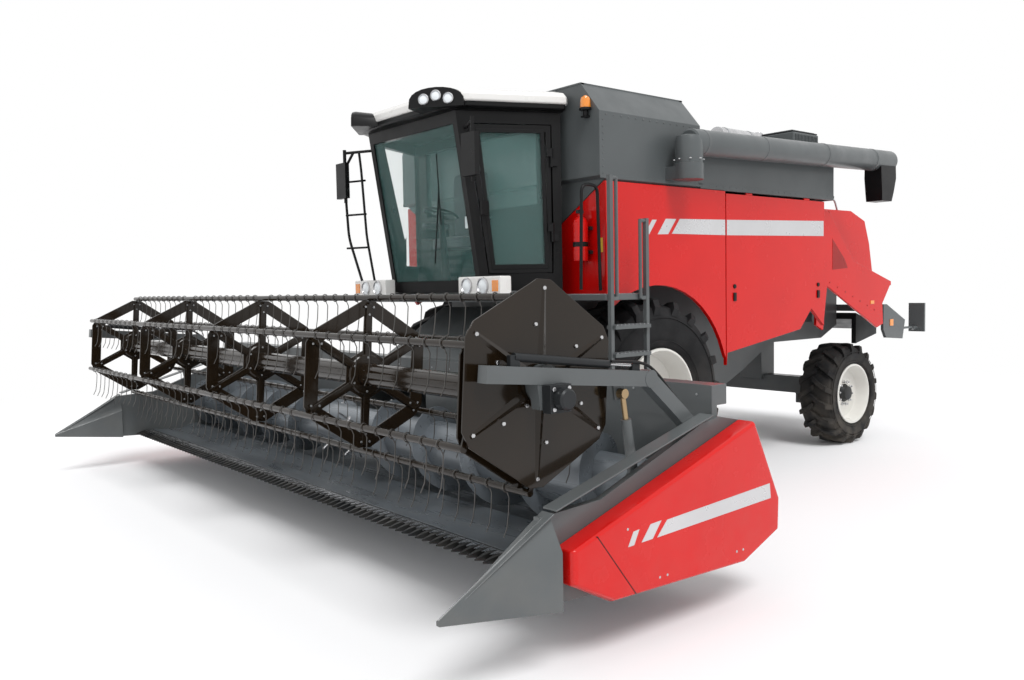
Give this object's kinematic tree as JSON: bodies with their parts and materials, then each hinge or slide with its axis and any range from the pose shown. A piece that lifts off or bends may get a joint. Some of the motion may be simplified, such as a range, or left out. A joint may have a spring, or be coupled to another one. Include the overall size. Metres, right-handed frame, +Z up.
{
  "type": "combine harvester",
  "caption": "Straight-cut combine harvester with raised grain header, finger reel, glazed cab, open grain tank, folded unloading auger and rear straw hood.",
  "frame": {"origin": "bottom centre of the whole machine's box, on the ground", "axes": "front faces -Y, the machine's own left side is +X, +Z is up"},
  "size_m": [7.32, 9, 3.59],
  "materials": {
    "red_paint": "gloss",
    "grey_paint": "satin",
    "reel_paint": "satin",
    "dark_plastic": "satin",
    "cream_paint": "gloss",
    "steel": "satin",
    "tyre": "matt",
    "seat_fabric": "matt",
    "glass": "gloss"
  },
  "bodies": {
    "machine": {"thresher_body": "grey_paint", "front_axle": "grey_paint", "rear_axle": "grey_paint", "grain_tank": "grey_paint", "engine_bay_cover": "grey_paint", "engine_block": "dark_plastic", "muffler": "steel", "side_panel_front_left": "red_paint", "side_panel_front_right": "red_paint", "rear_hood": "red_paint", "straw_spreader": "dark_plastic", "rear_light_frame": "grey_paint", "cab_frame": "dark_plastic", "cab_roof": "cream_paint", "windscreen": "glass", "driver_seat": "seat_fabric", "steering_column": "dark_plastic", "platform": "grey_paint", "ladder": "grey_paint", "lamp_box_left": "cream_paint", "lamp_box_right": "cream_paint", "mirror_left": "dark_plastic", "mirror_right": "dark_plastic"},
    "cab_door": {"cab_door": "dark_plastic"},
    "side_door_left": {"side_door_left": "red_paint"},
    "side_door_right": {"side_door_right": "red_paint"},
    "unloading_auger": {"unloading_auger": "grey_paint"},
    "front_wheel_left": {"front_wheel_left": "tyre"},
    "front_wheel_right": {"front_wheel_right": "tyre"},
    "knuckle_left": {"knuckle_left": "grey_paint"},
    "knuckle_right": {"knuckle_right": "grey_paint"},
    "rear_wheel_left": {"rear_wheel_left": "tyre"},
    "rear_wheel_right": {"rear_wheel_right": "tyre"},
    "header": {"feeder_house": "grey_paint", "header_back": "grey_paint", "header_floor": "grey_paint", "header_end_left": "grey_paint", "header_end_right": "grey_paint", "end_shield_left": "red_paint", "end_shield_right": "red_paint", "cutter_bar": "dark_plastic"},
    "intake_auger": {"intake_auger": "grey_paint"},
    "reel_arms": {"reel_arm_left": "grey_paint", "reel_arm_right": "grey_paint"},
    "reel": {"reel_frame": "reel_paint"},
    "tine_control_plate": {"tine_control_plate": "reel_paint"},
    "lift_barrels": {"lift_cylinder_barrels": "grey_paint"},
    "lift_rods": {"lift_cylinder_rods": "steel"},
    "reel_barrel_left": {"reel_cylinder_barrel_left": "grey_paint"},
    "reel_rod_left": {"reel_cylinder_rod_left": "steel"},
    "reel_barrel_right": {"reel_cylinder_barrel_right": "grey_paint"},
    "reel_rod_right": {"reel_cylinder_rod_right": "steel"},
    "tine_bar_1": {"tine_bar_1": "reel_paint"},
    "tine_bar_2": {"tine_bar_2": "reel_paint"},
    "tine_bar_3": {"tine_bar_3": "reel_paint"},
    "tine_bar_4": {"tine_bar_4": "reel_paint"},
    "tine_bar_5": {"tine_bar_5": "reel_paint"},
    "tine_bar_6": {"tine_bar_6": "reel_paint"}
  },
  "joints": [
    {"name": "front_wheel_left_spin", "type": "hinge", "parent": "machine", "child": "front_wheel_left", "pos_m": [1.225, -0.7, 0.885], "axis": [1, 0, 0], "continuous": true},
    {"name": "front_wheel_right_spin", "type": "hinge", "parent": "machine", "child": "front_wheel_right", "pos_m": [-1.225, -0.7, 0.885], "axis": [1, 0, 0], "continuous": true},
    {"name": "steer_left", "type": "hinge", "parent": "machine", "child": "knuckle_left", "pos_m": [0.8, 2.9, 0.585], "axis": [0, 0, 1], "range_deg": [-35, 35]},
    {"name": "rear_wheel_left_spin", "type": "hinge", "parent": "knuckle_left", "child": "rear_wheel_left", "pos_m": [1.125, 2.9, 0.585], "axis": [1, 0, 0], "continuous": true},
    {"name": "steer_right", "type": "hinge", "parent": "machine", "child": "knuckle_right", "pos_m": [-0.8, 2.9, 0.585], "axis": [0, 0, 1], "range_deg": [-35, 35]},
    {"name": "rear_wheel_right_spin", "type": "hinge", "parent": "knuckle_right", "child": "rear_wheel_right", "pos_m": [-1.125, 2.9, 0.585], "axis": [1, 0, 0], "continuous": true},
    {"name": "header_lift", "type": "hinge", "parent": "machine", "child": "header", "pos_m": [0, -1.56, 1.52], "axis": [-1, 0, 0], "range_deg": [-7, 14]},
    {"name": "intake_auger_spin", "type": "hinge", "parent": "header", "child": "intake_auger", "pos_m": [0, -2.88, 0.7], "axis": [1, 0, 0], "continuous": true},
    {"name": "reel_lift", "type": "hinge", "parent": "header", "child": "reel_arms", "pos_m": [0, -2.6, 1.04], "axis": [-1, 0, 0], "range_deg": [-6, 20]},
    {"name": "reel_spin", "type": "hinge", "parent": "reel_arms", "child": "reel", "pos_m": [0, -3.73, 1.34], "axis": [1, 0, 0], "continuous": true},
    {"name": "tine_bar_1_turn", "type": "hinge", "parent": "reel", "child": "tine_bar_1", "pos_m": [0, -3.69512, 1.83878], "axis": [1, 0, 0], "continuous": true},
    {"name": "tine_bar_2_turn", "type": "hinge", "parent": "reel", "child": "tine_bar_2", "pos_m": [0, -4.14452, 1.6196], "axis": [1, 0, 0], "continuous": true},
    {"name": "tine_bar_3_turn", "type": "hinge", "parent": "reel", "child": "tine_bar_3", "pos_m": [0, -4.1794, 1.12081], "axis": [1, 0, 0], "continuous": true},
    {"name": "tine_bar_4_turn", "type": "hinge", "parent": "reel", "child": "tine_bar_4", "pos_m": [0, -3.76488, 0.84122], "axis": [1, 0, 0], "continuous": true},
    {"name": "tine_bar_5_turn", "type": "hinge", "parent": "reel", "child": "tine_bar_5", "pos_m": [0, -3.31548, 1.0604], "axis": [1, 0, 0], "continuous": true},
    {"name": "tine_bar_6_turn", "type": "hinge", "parent": "reel", "child": "tine_bar_6", "pos_m": [0, -3.2806, 1.55919], "axis": [1, 0, 0], "continuous": true},
    {"name": "tine_control_plate_spin", "type": "hinge", "parent": "reel_arms", "child": "tine_control_plate", "pos_m": [0, -3.71, 1.4], "axis": [1, 0, 0], "continuous": true},
    {"name": "lift_barrels_tilt", "type": "hinge", "parent": "machine", "child": "lift_barrels", "pos_m": [0, -1.12, 0.84], "axis": [-1, 0, 0], "range_deg": [-5.2, 10.3]},
    {"name": "lift_rods_slide", "type": "slide", "parent": "lift_barrels", "child": "lift_rods", "axis": [0, -0.9744, -0.2249], "range_m": [-0.093, 0.184]},
    {"name": "reel_barrel_left_tilt", "type": "hinge", "parent": "header", "child": "reel_barrel_left", "pos_m": [3.425, -3.12, 0.84], "axis": [-1, 0, 0], "range_deg": [-4.4, 14.4]},
    {"name": "reel_rod_left_slide", "type": "slide", "parent": "reel_barrel_left", "child": "reel_rod_left", "axis": [0, -0.1678, 0.9858], "range_m": [-0.057, 0.188]},
    {"name": "reel_barrel_right_tilt", "type": "hinge", "parent": "header", "child": "reel_barrel_right", "pos_m": [-3.425, -3.12, 0.84], "axis": [-1, 0, 0], "range_deg": [-4.4, 14.4]},
    {"name": "reel_rod_right_slide", "type": "slide", "parent": "reel_barrel_right", "child": "reel_rod_right", "axis": [0, -0.1678, 0.9858], "range_m": [-0.057, 0.188]},
    {"name": "unloading_auger_swing", "type": "hinge", "parent": "machine", "child": "unloading_auger", "pos_m": [1.665, -0.47, 2.94], "axis": [0, 0, -1], "range_deg": [0, 95]},
    {"name": "cab_door_swing", "type": "hinge", "parent": "machine", "child": "cab_door", "pos_m": [1.07462, -1.55304, 2.35], "axis": [0, 0, 1], "range_deg": [0, 75]},
    {"name": "side_door_left_lift", "type": "hinge", "parent": "machine", "child": "side_door_left", "pos_m": [1.485, 1.12, 2.7497], "axis": [0, -1, 0], "range_deg": [0, 70]},
    {"name": "side_door_right_lift", "type": "hinge", "parent": "machine", "child": "side_door_right", "pos_m": [-1.485, 1.12, 2.7497], "axis": [0, 1, 0], "range_deg": [0, 70]}
  ],
  "couplings": [
    {"joint": "steer_right", "follows": "steer_left", "ratio": 1},
    {"joint": "tine_bar_1_turn", "follows": "reel_spin", "ratio": -1},
    {"joint": "tine_bar_2_turn", "follows": "reel_spin", "ratio": -1},
    {"joint": "tine_bar_3_turn", "follows": "reel_spin", "ratio": -1},
    {"joint": "tine_bar_4_turn", "follows": "reel_spin", "ratio": -1},
    {"joint": "tine_bar_5_turn", "follows": "reel_spin", "ratio": -1},
    {"joint": "tine_bar_6_turn", "follows": "reel_spin", "ratio": -1},
    {"joint": "tine_control_plate_spin", "follows": "reel_spin", "ratio": 1},
    {"joint": "lift_barrels_tilt", "follows": "header_lift", "ratio": 0.71915},
    {"joint": "lift_rods_slide", "follows": "header_lift", "m_per_rad": 0.74408},
    {"joint": "reel_barrel_left_tilt", "follows": "reel_lift", "ratio": 0.7107},
    {"joint": "reel_rod_left_slide", "follows": "reel_lift", "m_per_rad": 0.53264},
    {"joint": "reel_barrel_right_tilt", "follows": "reel_lift", "ratio": 0.7107},
    {"joint": "reel_rod_right_slide", "follows": "reel_lift", "m_per_rad": 0.53264}
  ]
}
